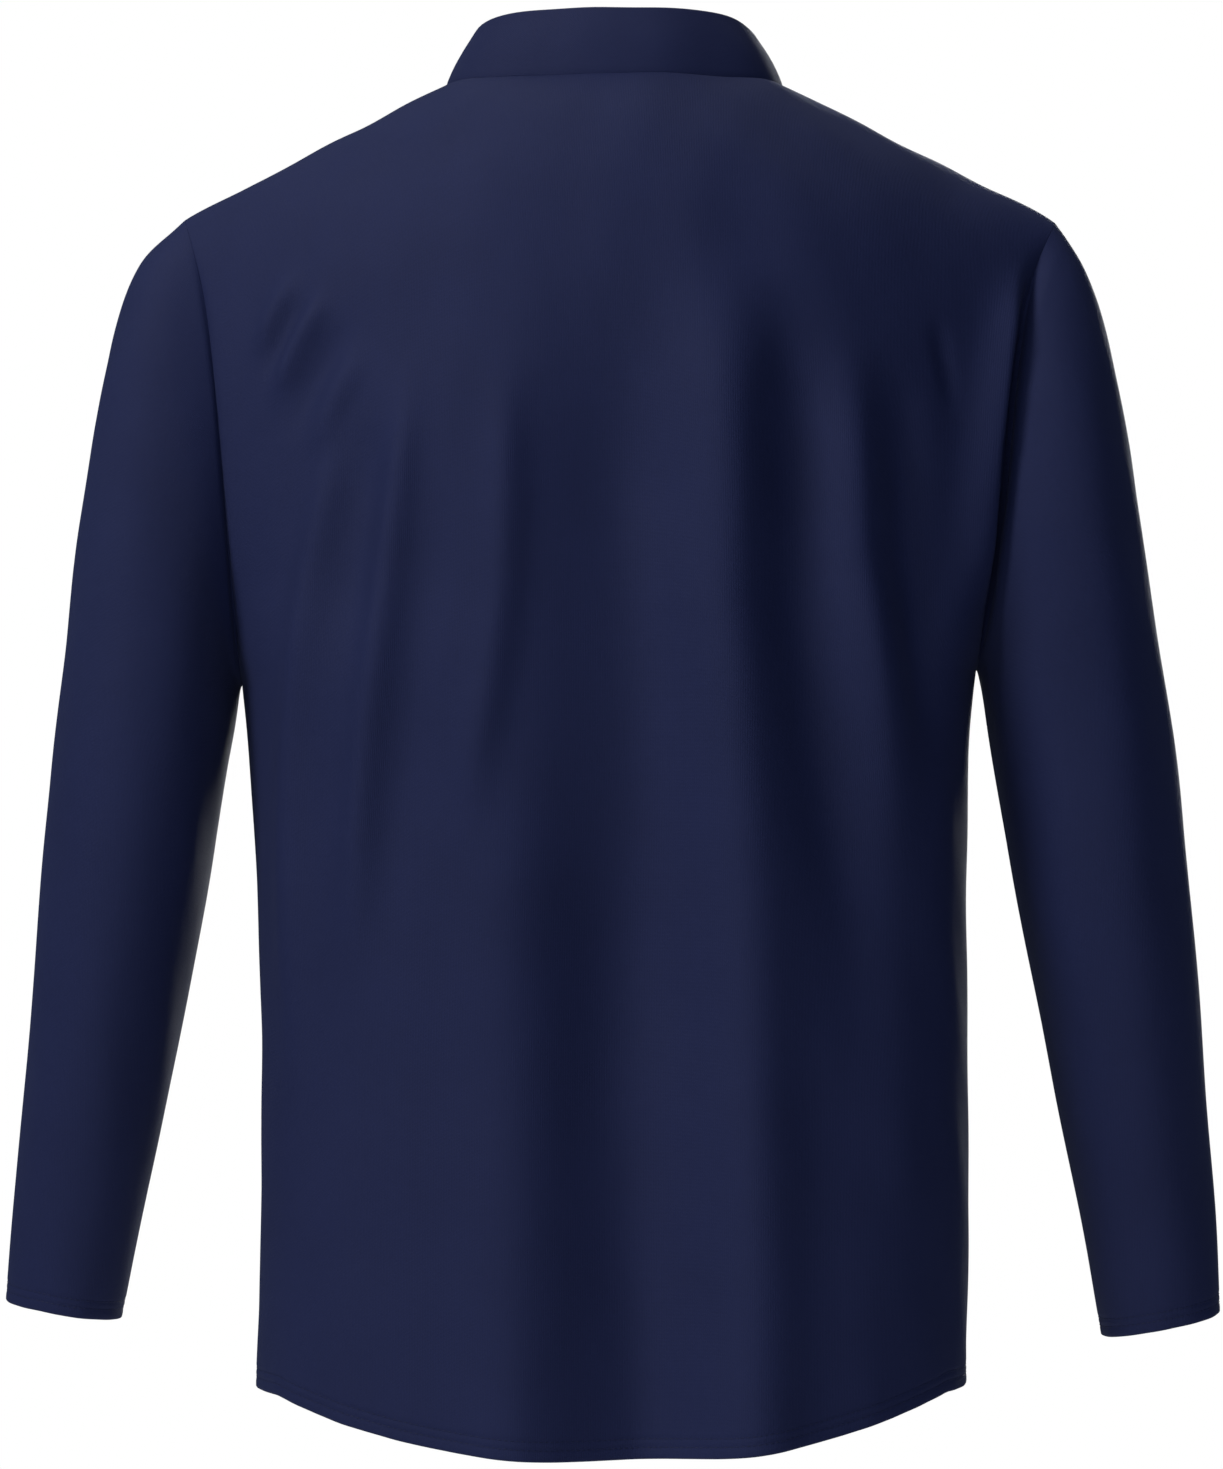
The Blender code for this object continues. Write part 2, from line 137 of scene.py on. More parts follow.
def armhole(side, panel, angle):
    """The armhole seam: angle is 0 at the shoulder tip and pi at the underarm."""
    hole = ARMHOLES[side]
    rise = (1 + np.cos(angle)) / 2
    slant = (1 - TIP_FLARE) * rise + TIP_FLARE * rise**TIP_FLARE_POWER
    x = hole.under_x + (hole.tip_x - hole.under_x) * slant
    x = x - ARMHOLE_SCOOP[panel] * np.sin(angle) ** 2
    y = PANELS[panel] * ARMHOLE_DEPTH[panel] * np.abs(np.sin(angle)) ** ARMHOLE_SQUARE
    z = hole.under_z + (hole.tip_z - hole.under_z) * rise
    return np.stack([SIDES[side] * x, y, z], -1)


def section(across, up):
    """How far a panel stands out, as a share of its fullness, at a share of its half width."""
    wrap = 1 - ARMHOLE_WRAP * ease(up)
    cut_off = (1 - wrap**SECTION_POWER) ** (1 / SECTION_POWER) * ease(up / WRAP_SETTLE)
    wrap = (1 - cut_off**SECTION_POWER) ** (1 / SECTION_POWER)
    bow = np.maximum(1 - (wrap * across) ** SECTION_POWER, 0.0) ** (1 / SECTION_POWER)
    return (bow - cut_off) / (1 - cut_off)


def ridge_z(side, x):
    """The height where the curve over the shoulder reaches the plane of the side seams."""
    hole = ARMHOLES[side]
    side_z = NECK_SIDE_Z[side]
    across = np.abs(x - NECK_X) / NECK_HALF_WIDTH
    slope = (hole.tip_z - side_z) / (hole.tip_x - SIDES[side] * NECK_X - NECK_HALF_WIDTH)
    over_neck = (NECK_RIDGE_Z - side_z) * (1 - across**2)
    over_shoulder = slope * NECK_HALF_WIDTH * (across - 1)
    return side_z + np.where(across < 1, over_neck, over_shoulder)


def form_depth(side, panel, x, z, edge_x, up):
    """How far a panel stands out from the plane of the side seams, before its armhole is cut."""
    bow = section(np.abs(x) / edge_x, up)
    below = np.clip((ridge_z(side, x) - z) / SHOULDER_ROUND, 0.0, 1.0)
    rounding = (1 - (1 - below) ** ROUND_POWER) ** (1 / ROUND_POWER)
    return column(FULLNESS, panel, z) * bow * rounding


def neckline(side, panel, turn):
    """The neckline: turn is 0 at the shoulder seam and 1 at the panel's middle."""
    angle = turn * math.pi / 2
    x = NECK_X + SIDES[side] * NECK_HALF_WIDTH * np.cos(angle)
    z = NECK_SIDE_Z[side] + (NECK_MIDDLE_Z[panel] - NECK_SIDE_Z[side]) * np.sin(angle) ** 2
    y = PANELS[panel] * form_depth(side, panel, x, z, ARMHOLES[side].tip_x, 1.0)
    return np.stack([x, y, z], -1)


def top_edge(side, panel, across):
    """A panel's top edge: across is 0 at its middle, NECK_SHARE at the neck and 1 at the shoulder tip."""
    neck = neckline(side, panel, 1 - np.minimum(across / NECK_SHARE, 1.0))
    share = np.maximum((across - NECK_SHARE) / (1 - NECK_SHARE), 0.0)[:, None]
    return neck + (armhole(side, panel, 0.0) - neckline(side, panel, 0.0)) * share


def row_edges(side, panel, rises):
    """Where the rows of a panel meet its side seam or armhole."""
    hole = ARMHOLES[side]
    above = armhole(side, panel, np.arccos(2 * np.maximum(rises, 0.0) - 1))
    z = hole.under_z + (HEM_Z[side] - hole.under_z) * np.maximum(-rises, 0.0)
    seam_x = column(SIDE_SEAMS, side, z + SIDE_SEAMS[-1].z - hole.under_z)
    below = np.stack([SIDES[side] * seam_x, 0 * z, z], -1)
    return np.where(rises[:, None] > 0, above, below)


def half_panel(side, panel, across, rises):
    """A grid of points, rows from the hem up, columns from the panel's middle to one side."""
    edges = {s: row_edges(s, panel, rises)[:, None, :] for s in SIDES}
    tips = {s: armhole(s, panel, 0.0)[None, None, :] for s in SIDES}
    top = top_edge(side, panel, across)[None, :, :]
    spread = np.sin(across * math.pi / 2)[None, :]
    up = np.maximum(rises, 0.0)[:, None]
    down = np.maximum(-rises, 0.0)[:, None]

    def level(ends):
        """The height of each row, running smoothly from its middle to its end."""
        middle = (ends["left"][..., 2] + ends["right"][..., 2]) / 2
        return middle + (ends[side][..., 2] - middle) * spread**2

    edge = edges[side]
    x = edge[..., 0] * spread + up**2 * (top[..., 0] - tips[side][..., 0] * spread)
    z = level(edges) + up * (top[..., 2] - level(tips))
    z = z - down * HEM_DIP[panel] * np.maximum(1 - (spread / HEM_DIP_SHARE) ** HEM_DIP_POWER, 0)
    depth = form_depth(side, panel, x, z, np.abs(edge[..., 0]), up)
    seam_depth = np.maximum(np.abs(edge[..., 1]), LEAST_DEPTH)
    bow = section(np.abs(x / edge[..., 0]), up)
    power = np.where(up < 0.5, ARMHOLE_REACH / seam_depth, TIP_REACH_POWER)
    y = depth + seam_depth * np.maximum(1 - bow, 0) ** power
    return np.stack([x, PANELS[panel] * y, z], -1)


def panel_grid(panel):
    """The whole panel, rows from the hem up, each running so that the panel faces out."""
    at_neck = np.linspace(0, NECK_SHARE, NECK_COLUMNS + 1)
    at_shoulder = np.linspace(NECK_SHARE, 1, SHOULDER_COLUMNS + 1)[1:]
    across = np.concatenate([at_neck, at_shoulder])
    length = ARMHOLES["left"].under_z - HEM_Z["left"]
    hem_rows = np.arange(0, TURN_UP + 3 * HEM_ROW, HEM_ROW)
    side_rows = np.linspace(hem_rows[-1], length, round((length - hem_rows[-1]) / SIDE_ROW))[1:]
    angles = np.linspace(math.pi, 0, ARMHOLE_ROWS + 1)[1:]
    rises = np.concatenate([-1 + hem_rows / length, -1 + side_rows / length, (1 + np.cos(angles)) / 2])
    first, second = ("left", "right") if panel == "back" else ("right", "left")
    halves = half_panel(first, panel, across, rises), half_panel(second, panel, across, rises)
    return np.concatenate([halves[0][:, ::-1], halves[1][:, 1:]], 1)


def with_edge_rows(grid, ends):
    """The grid with extra rows close to its first row (0), its last row (-1), or both."""
    shares = np.array(EDGE_SHARES)[:, None, None]
    if 0 in ends:
        extra = grid[0] + (grid[1] - grid[0]) * shares
        grid = np.concatenate([grid[:1], extra, grid[1:]])
    if -1 in ends:
        extra = grid[-1] + (grid[-2] - grid[-1]) * shares[::-1]
        grid = np.concatenate([grid[:-1], extra, grid[-1:]])
    return grid


grids = {panel: panel_grid(panel) for panel in PANELS}
for panel in PANELS:
    sideways = with_edge_rows(grids[panel].transpose(1, 0, 2), (0, -1))
    grids[panel] = with_edge_rows(sideways.transpose(1, 0, 2), (0, -1))

# SLEEVES
# Each is one piece of the same knit, set into the armhole and closed with an underarm seam that faces the
# body. It narrows to the wrist, where the cuff edge is turned up 12 mm inside.
Station = namedtuple("Station", "outer_x outer_z inner_x inner_z half_depth forward")
SLEEVES = {
    "left": (
        Station(0.2310, -0.0765, 0.1995, -0.3270, 0.048, 0.000),
        Station(0.2550, -0.0990, 0.2010, -0.3288, 0.057, 0.000),
        Station(0.2690, -0.1365, 0.2020, -0.3330, 0.062, -0.001),
        Station(0.2785, -0.1850, 0.2031, -0.3405, 0.065, -0.002),
        Station(0.2863, -0.2400, 0.2052, -0.3540, 0.066, -0.003),
        Station(0.2947, -0.3080, 0.2092, -0.3760, 0.064, -0.003),
        Station(0.3030, -0.3800, 0.2152, -0.4080, 0.060, -0.001),
        Station(0.3102, -0.4500, 0.2248, -0.4640, 0.054, 0.005),
        Station(0.3176, -0.5250, 0.2391, -0.5360, 0.047, 0.015),
        Station(0.3253, -0.5950, 0.2541, -0.6060, 0.039, 0.027),
        Station(0.3321, -0.6634, 0.2692, -0.6733, 0.033, 0.037),
    ),
    "right": (
        Station(0.2390, -0.0775, 0.1955, -0.3200, 0.048, 0.000),
        Station(0.2540, -0.1030, 0.1972, -0.3220, 0.057, 0.000),
        Station(0.2655, -0.1375, 0.1985, -0.3270, 0.062, -0.001),
        Station(0.2748, -0.1850, 0.2001, -0.3365, 0.065, -0.002),
        Station(0.2840, -0.2400, 0.2025, -0.3520, 0.066, -0.003),
        Station(0.2948, -0.3080, 0.2065, -0.3750, 0.064, -0.003),
        Station(0.3047, -0.3800, 0.2128, -0.4100, 0.060, -0.001),
        Station(0.3127, -0.4500, 0.2232, -0.4650, 0.054, 0.005),
        Station(0.3198, -0.5250, 0.2386, -0.5390, 0.047, 0.015),
        Station(0.3255, -0.5950, 0.2527, -0.6100, 0.039, 0.027),
        Station(0.3310, -0.6699, 0.2665, -0.6831, 0.033, 0.037),
    ),
}
ARMHOLE_BLEND = 0.30  # share of the sleeve's length over which it leaves the armhole's own shape
SLEEVE_ROWS = 180
SLEEVE_LENGTH = 0.60  # along the outer edge, from the shoulder tip


def sleeve_grid(side):
    """Rows from the armhole to the cuff, closed round from the underarm seam, facing out."""
    turn_up = np.arange(0, TURN_UP + 3 * HEM_ROW, HEM_ROW)[::-1] / SLEEVE_LENGTH
    alongs = np.concatenate([np.linspace(0, 1 - turn_up[0], SLEEVE_ROWS), 1 - turn_up[1:]])
    around = np.linspace(-math.pi, math.pi, 2 * ARMHOLE_ROWS, endpoint=False)
    angles = -SIDES[side] * around
    stations = SLEEVES[side]
    keys = np.linspace(0, 1, len(stations))
    here = Station(*(curve(keys, values, alongs)[:, None] for values in zip(*stations)))
    start = stations[0]
    rises = np.arccos(np.cos(angles))
    behind = np.sin(angles)[:, None] >= 0
    seam = np.where(behind, armhole(side, "back", rises), armhole(side, "front", rises))
    turn = ((1 + np.cos(angles)) / 2)[None, :]
    power = ARMHOLE_SQUARE + (1 - ARMHOLE_SQUARE) * alongs[:, None]
    deep = np.where(behind.T, 1, -1) * np.abs(np.sin(angles))[None, :] ** power
    bow = np.abs(seam[:, 0]) - start.inner_x - (start.outer_x - start.inner_x) * turn
    fade = 1 - ease(alongs / ARMHOLE_BLEND)[:, None]
    x = here.inner_x + (here.outer_x - here.inner_x) * turn + fade * bow
    y = deep * here.half_depth - here.forward + fade * (seam[:, 1] - deep * start.half_depth)
    z = here.inner_z + (here.outer_z - here.inner_z) * turn
    return np.stack([SIDES[side] * x, y, z], -1)


for side in SIDES:
    grids["sleeve_" + side] = with_edge_rows(sleeve_grid(side), (0, -1))

# COLLAR
# A short stand-up band of the same knit, folded double along its top edge and sewn to the neckline. It
# leans a little forward, and stands about 28 mm high at the sides, 37 mm behind and 41 mm in front.
COLLAR_HALF_WIDTH = 0.0752
COLLAR_HALF_DEPTH = 0.061
COLLAR_FORWARD = 0.009
COLLAR_SIDE_Z = 0.0241
COLLAR_MIDDLE_Z = {"back": 0.0321, "front": -0.0014}
COLLAR_TOP_POWER = {"back": 8, "front": 2}  # the top edge stays level behind and drops at the sides
COLLAR_SQUARE = 0.75  # 1 is an ellipse seen from above, and less is squarer
COLLAR_BULGE = 0.0015
COLLAR_ROWS = 24


def collar_grid():
    """Rows from the neckline to the top edge, closed round."""
    quarter = np.linspace(0, 1, NECK_COLUMNS + 1)
    quarters = (
        ("back", "left", quarter),
        ("back", "right", quarter[-2::-1]),
        ("front", "right", quarter[1:]),
        ("front", "left", quarter[-2:0:-1]),
    )
    parts = []
    for panel, side, turns in quarters:
        base = neckline(side, panel, turns)
        angle = turns * math.pi / 2
        deep = np.sin(angle) ** COLLAR_SQUARE
        out = np.stack([SIDES[side] * np.cos(angle), PANELS[panel] * deep, 0 * angle], -1)
        top = out * [COLLAR_HALF_WIDTH, COLLAR_HALF_DEPTH, 0.0] + [NECK_X, -COLLAR_FORWARD, 0.0]
        level = 1 - np.cos(angle) ** COLLAR_TOP_POWER[panel]
        top[:, 2] = COLLAR_SIDE_Z + (COLLAR_MIDDLE_Z[panel] - COLLAR_SIDE_Z) * level
        share = np.linspace(0, 1, COLLAR_ROWS + 1)[:, None, None]
        parts.append(base + (top - base) * share + out * COLLAR_BULGE * np.sin(math.pi * share))
    return np.concatenate(parts, 1)


grids["collar"] = with_edge_rows(collar_grid(), (0, -1))

# CREASES AND SEAMS
# The cloth hangs from the shoulder blades and is drawn up at the armholes, so soft creases run down from
# there, each laid along its own line. A crease stands out by its height, or lies in where that is below 0,
# and its ends fade over shares of its length. Every seam lies in a small valley.
Crease = namedtuple("Crease", "height half_width fade_top fade_low path")
CREASES = {
    "back": (
        # drawn from the left armhole
        Crease(0.0042, 0.0050, 0.35, 0.40, ((0.1640, -0.108), (0.1780, -0.130), (0.1900, -0.158))),
        Crease(-0.0026, 0.0050, 0.35, 0.40, ((0.1600, -0.119), (0.1730, -0.143), (0.1850, -0.170))),
        Crease(0.0066, 0.0055, 0.30, 0.35, ((0.1480, -0.120), (0.1640, -0.148), (0.1800, -0.182))),
        Crease(-0.0034, 0.0060, 0.35, 0.40, ((0.1370, -0.135), (0.1550, -0.166), (0.1710, -0.200))),
        Crease(0.0040, 0.0062, 0.30, 0.40, ((0.1280, -0.148), (0.1440, -0.176), (0.1600, -0.212))),
        # narrow ridges on the left
        Crease(0.0055, 0.0085, 0.15, 0.35, ((0.1430, -0.186), (0.1508, -0.230), (0.1580, -0.266),
                                            (0.1640, -0.305), (0.1690, -0.357), (0.1705, -0.440),
                                            (0.1700, -0.560))),
        Crease(0.0068, 0.0085, 0.20, 0.35, ((0.1045, -0.150), (0.1090, -0.201), (0.1140, -0.240),
                                            (0.1190, -0.279), (0.1240, -0.318), (0.1290, -0.357),
                                            (0.1330, -0.410), (0.1370, -0.500))),
        Crease(0.0062, 0.0110, 0.25, 0.35, ((0.0570, -0.145), (0.0560, -0.232), (0.0585, -0.284),
                                            (0.0650, -0.331), (0.0720, -0.367), (0.0790, -0.430))),
        Crease(-0.0034, 0.0120, 0.30, 0.40, ((0.1260, -0.180), (0.1350, -0.263), (0.1450, -0.340))),
        Crease(-0.0036, 0.0120, 0.25, 0.35, ((0.0860, -0.190), (0.0930, -0.263), (0.1030, -0.330),
                                             (0.1120, -0.400), (0.1180, -0.500))),
        # the broad folds down the middle
        Crease(0.0060, 0.0220, 0.35, 0.00, ((0.0580, -0.300), (0.0570, -0.450), (0.0550, -0.595),
                                            (0.0530, -0.745))),
        Crease(-0.0180, 0.0420, 0.22, 0.00, ((-0.0040, -0.095), (-0.0060, -0.232), (-0.0120, -0.414),
                                             (-0.0140, -0.595), (-0.0170, -0.745))),
        Crease(-0.0065, 0.0300, 0.40, 0.00, ((-0.0040, -0.340), (-0.0080, -0.550), (-0.0110, -0.745))),
        Crease(0.0125, 0.0240, 0.14, 0.00, ((-0.0640, -0.090), (-0.0580, -0.139), (-0.0560, -0.284),
                                            (-0.0610, -0.336), (-0.0680, -0.440), (-0.0720, -0.600),
                                            (-0.0730, -0.745))),
        Crease(-0.0110, 0.0210, 0.26, 0.45, ((-0.0900, -0.105), (-0.0925, -0.190), (-0.0960, -0.284),
                                             (-0.1080, -0.357), (-0.1260, -0.440), (-0.1450, -0.560))),
        # narrow folds on the right
        Crease(0.0080, 0.0130, 0.25, 0.40, ((-0.1220, -0.135), (-0.1265, -0.258), (-0.1400, -0.336),
                                            (-0.1600, -0.440))),
        Crease(-0.0055, 0.0110, 0.25, 0.40, ((-0.1500, -0.150), (-0.1550, -0.250), (-0.1680, -0.350),
                                             (-0.1760, -0.420))),
        Crease(-0.0028, 0.0042, 0.35, 0.40, ((-0.1690, -0.133), (-0.1745, -0.155), (-0.1800, -0.185))),
        Crease(0.0115, 0.0130, 0.20, 0.35, ((-0.2230, -0.100), (-0.2150, -0.135), (-0.2040, -0.182),
                                            (-0.1950, -0.235), (-0.1840, -0.290), (-0.1780, -0.330))),
    ),
    "front": (
        # drawn from both armholes
        Crease(-0.0024, 0.0055, 0.35, 0.40, ((-0.150, -0.118), (-0.166, -0.138), (-0.178, -0.168))),
        Crease(0.0034, 0.0060, 0.35, 0.40, ((-0.138, -0.124), (-0.156, -0.150), (-0.170, -0.186))),
        Crease(-0.0022, 0.0055, 0.35, 0.40, ((0.160, -0.122), (0.172, -0.142), (0.180, -0.172))),
        Crease(0.0030, 0.0062, 0.35, 0.40, ((0.148, -0.130), (0.163, -0.156), (0.174, -0.192))),
        Crease(0.0046, 0.0085, 0.25, 0.40, ((-0.128, -0.180), (-0.138, -0.250), (-0.150, -0.330),
                                            (-0.158, -0.420))),
        Crease(0.0042, 0.0090, 0.25, 0.40, ((0.118, -0.170), (0.130, -0.240), (0.141, -0.310),
                                            (0.152, -0.400))),
        # the broad folds down the middle
        Crease(0.0085, 0.0260, 0.25, 0.00, ((-0.072, -0.140), (-0.067, -0.300), (-0.075, -0.520),
                                            (-0.082, -0.740))),
        Crease(-0.0110, 0.0400, 0.25, 0.00, ((-0.015, -0.120), (-0.010, -0.300), (-0.020, -0.520),
                                             (-0.026, -0.740))),
        Crease(0.0080, 0.0260, 0.25, 0.00, ((0.055, -0.150), (0.052, -0.300), (0.063, -0.500),
                                            (0.070, -0.740))),
        Crease(-0.0065, 0.0230, 0.30, 0.45, ((0.100, -0.220), (0.108, -0.380), (0.122, -0.580))),
        Crease(-0.0060, 0.0220, 0.30, 0.45, ((-0.110, -0.260), (-0.122, -0.430), (-0.134, -0.600))),
        # hanging below the collar
        Crease(0.0018, 0.0080, 0.35, 0.40, ((0.036, -0.072), (0.060, -0.090), (0.090, -0.096))),
        Crease(0.0016, 0.0080, 0.35, 0.40, ((-0.040, -0.074), (-0.066, -0.093), (-0.094, -0.098))),
    ),
}
CREASE_CLEAR = 0.010  # creases die away this close to a seam

Valley = namedtuple("Valley", "depth width")
SIDE_VALLEY = Valley(0.0010, 0.0045)
SHOULDER_VALLEY = Valley(0.0009, 0.0040)
NECK_VALLEY = Valley(0.0004, 0.0035)
ARMHOLE_VALLEYS = {"left": Valley(0.0011, 0.0040), "right": Valley(0.0050, 0.0115)}
ARMHOLE_VALLEY_LEAST = 0.15  # share of its depth left at the shoulder tip and the underarm
ARMHOLE_VALLEY_FADE = 0.05  # the height over which it grows to its full depth from either end

SLEEVE_CREASES = {
    "left": (
        Crease(-0.0022, 0.0100, 0.40, 0.40, ((0.214, -0.372), (0.236, -0.384), (0.262, -0.386))),
        Crease(0.0024, 0.0090, 0.40, 0.40, ((0.217, -0.398), (0.240, -0.408), (0.270, -0.408))),
        Crease(-0.0022, 0.0085, 0.40, 0.40, ((0.222, -0.424), (0.246, -0.430), (0.276, -0.426))),
        Crease(0.0018, 0.0100, 0.40, 0.40, ((0.232, -0.462), (0.256, -0.462), (0.284, -0.452))),
        Crease(-0.0024, 0.0090, 0.35, 0.40, ((0.206, -0.318), (0.222, -0.300), (0.242, -0.268))),
        Crease(0.0022, 0.0090, 0.35, 0.40, ((0.208, -0.342), (0.230, -0.326), (0.254, -0.292))),
    ),
    "right": (
        Crease(-0.0020, 0.0100, 0.40, 0.40, ((-0.212, -0.366), (-0.238, -0.376), (-0.266, -0.370))),
        Crease(0.0025, 0.0090, 0.40, 0.40, ((-0.216, -0.394), (-0.242, -0.402), (-0.272, -0.398))),
        Crease(-0.0023, 0.0085, 0.40, 0.40, ((-0.222, -0.420), (-0.250, -0.428), (-0.280, -0.420))),
        Crease(0.0016, 0.0100, 0.40, 0.40, ((-0.234, -0.470), (-0.258, -0.468), (-0.286, -0.456))),
        Crease(-0.0022, 0.0090, 0.35, 0.40, ((-0.203, -0.312), (-0.221, -0.290), (-0.240, -0.256))),
        Crease(0.0020, 0.0090, 0.35, 0.40, ((-0.206, -0.338), (-0.230, -0.318), (-0.252, -0.286))),
    ),
}
FRONT_SHARE = 0.35  # how far a sleeve has to face forward before its creases are at full height

UNDULATION = 0.0007
UNDULATION_LENGTHS = (0.034, 0.150)  # shortest and longest wave
UNDULATION_WAVES = 14
UNDULATION_STEEPNESS = (1.0, 1.0, 0.45)  # the waves run more across than up and down
UNDULATION_SEED = 11
MICROMETRES = 1e6  # in a metre
LEAST_LENGTH = 1e-12


def distance_along(grid):
    """How far each point lies from the first row, along its column."""
    steps = np.linalg.norm(np.diff(grid, axis=0), axis=2)
    return np.concatenate([np.zeros((1, grid.shape[1])), np.cumsum(steps, 0)])


def unit(vectors):
    """The same directions, each one long."""
    return vectors / np.maximum(np.linalg.norm(vectors, axis=-1, keepdims=True), LEAST_LENGTH)


def key(point):
    """The same for points of two pieces that are sewn together."""
    return tuple(int(c) for c in np.round(point * MICROMETRES))


def rim(grid, closed):
    """The places of all edge points, each once."""
    rows, columns = grid.shape[:2]
    places = {(i, j) for i in (0, rows - 1) for j in range(columns)}
    if not closed:
        places |= {(i, j) for i in range(rows) for j in (0, columns - 1)}
    return sorted(places)


def outward(grids, closed):
    """The outward direction at each point, the same for both pieces along a seam."""
    totals = {}
    shared = defaultdict(lambda: np.zeros(3))
    for name, grid in grids.items():
        wide = np.concatenate([grid, grid[:, :1]], 1) if closed[name] else grid
        corners = [wide[:-1, :-1], wide[:-1, 1:], wide[1:, 1:], wide[1:, :-1]]
        facing = unit(np.cross(corners[2] - corners[0], corners[3] - corners[1]))
        total = np.zeros_like(wide)
        places = (np.s_[:-1, :-1], np.s_[:-1, 1:], np.s_[1:, 1:], np.s_[1:, :-1])
        for k, place in enumerate(places):
            ahead = unit(corners[(k + 1) % 4] - corners[k])
            behind = unit(corners[k - 1] - corners[k])
            angle = np.arccos(np.clip((ahead * behind).sum(-1, keepdims=True), -1, 1))
            total[place] += facing * angle
        if closed[name]:
            total[:, 0] += total[:, -1]
            total = total[:, :-1]
        totals[name] = total
        for i, j in rim(grid, closed[name]):
            shared[key(grid[i, j])] += total[i, j]
    for name, grid in grids.items():
        for i, j in rim(grid, closed[name]):
            totals[name][i, j] = shared[key(grid[i, j])]
    return {name: unit(total) for name, total in totals.items()}


def crease_heights(x, z, creases):
    """How far the creases move the cloth out at each place."""
    total = np.zeros_like(x)
    for crease in creases:
        path = np.array(crease.path)
        lengths = np.linalg.norm(np.diff(path, axis=0), axis=1)
        starts = np.concatenate([[0], np.cumsum(lengths)])
        nearest = np.full(x.shape, np.inf)
        along = np.zeros_like(x)
        for k, length in enumerate(lengths):
            run = (path[k + 1] - path[k]) / length
            t = (x - path[k, 0]) * run[0] + (z - path[k, 1]) * run[1]
            t = np.clip(t, 0, length)
            gap = np.hypot(x - path[k, 0] - t * run[0], z - path[k, 1] - t * run[1])
            closer = gap < nearest
            nearest = np.where(closer, gap, nearest)
            along = np.where(closer, (starts[k] + t) / starts[-1], along)
        fade = ease(along / crease.fade_top) if crease.fade_top else 1.0
        if crease.fade_low:
            fade = fade * ease((1 - along) / crease.fade_low)
        total += crease.height * np.exp(-((nearest / crease.half_width) ** 2)) * fade
    return total


def valley(distance, shape):
    """How far a seam draws the cloth in at this distance from it."""
    return shape.depth * np.clip(1 - distance / shape.width, 0, 1) ** 2


def armhole_valley(side, distance, z):
    """The valley along an armhole, shallow at the shoulder tip and the underarm."""
    hole = ARMHOLES[side]
    share = ease((hole.tip_z - z) / ARMHOLE_VALLEY_FADE) * ease((z - hole.under_z) / ARMHOLE_VALLEY_FADE)
    share = ARMHOLE_VALLEY_LEAST + (1 - ARMHOLE_VALLEY_LEAST) * share
    return valley(distance, ARMHOLE_VALLEYS[side]) * share


def undulation(points):
    """A faint unevenness of the hanging cloth, the same wherever two pieces meet."""
    random = np.random.default_rng(UNDULATION_SEED)
    total = np.zeros(points.shape[:-1])
    for _ in range(UNDULATION_WAVES):
        length = math.exp(random.uniform(*np.log(UNDULATION_LENGTHS)))
        direction = unit(random.normal(size=3) * UNDULATION_STEEPNESS)
        total += np.sin(points @ direction * 2 * math.pi / length + random.uniform(0, 2 * math.pi))
    return UNDULATION * total / math.sqrt(UNDULATION_WAVES)


closed = {name: name not in PANELS for name in grids}  # the sleeves and the collar are closed round
normals = outward(grids, closed)
rise_out = {}  # how far each outer point is moved along its outward direction
seam_clear = {}  # how far each point lies from the nearest seam

for panel in PANELS:
    grid = grids[panel]
    sideways = grid.transpose(1, 0, 2)
    from_first = distance_along(sideways).T
    from_last = distance_along(sideways[::-1]).T[:, ::-1]
    from_top = distance_along(grid[::-1])[::-1]
    first, second = ("left", "right") if panel == "back" else ("right", "left")
    under = {s: grid[:, :1, 2] < ARMHOLES[s].under_z for s in SIDES}
    drawn = np.zeros_like(from_top)
    for distance, side in ((from_first, first), (from_last, second)):
        at_armhole = armhole_valley(side, distance, grid[..., 2])
        drawn = np.maximum(drawn, np.where(under[side], valley(distance, SIDE_VALLEY), at_armhole))
    at_neck = np.abs(grid[-1:, :, 0] - NECK_X) <= NECK_HALF_WIDTH
    at_top = np.where(at_neck, valley(from_top, NECK_VALLEY), valley(from_top, SHOULDER_VALLEY))
    drawn = np.maximum(drawn, at_top)
    clear = np.minimum(np.minimum(from_first, from_last), from_top)
    folds = crease_heights(grid[..., 0], grid[..., 2], CREASES[panel])
    rise_out[panel] = folds * ease(clear / CREASE_CLEAR) - drawn
    seam_clear[panel] = clear

for side in SIDES:
    name = "sleeve_" + side
    from_armhole = distance_along(grids[name])
    grid = grids[name]
    folds = crease_heights(grid[..., 0], grid[..., 2], SLEEVE_CREASES[side])
    folds = folds * ease(-normals[name][..., 1] / FRONT_SHARE) * ease(from_armhole / CREASE_CLEAR)
    rise_out[name] = folds - armhole_valley(side, from_armhole, grid[..., 2])
    seam_clear[name] = from_armhole

from_neckline = distance_along(grids["collar"])
rise_out["collar"] = -valley(from_neckline, NECK_VALLEY)
seam_clear["collar"] = from_neckline

for name, grid in grids.items():
    rise_out[name] = rise_out[name] + undulation(grid)

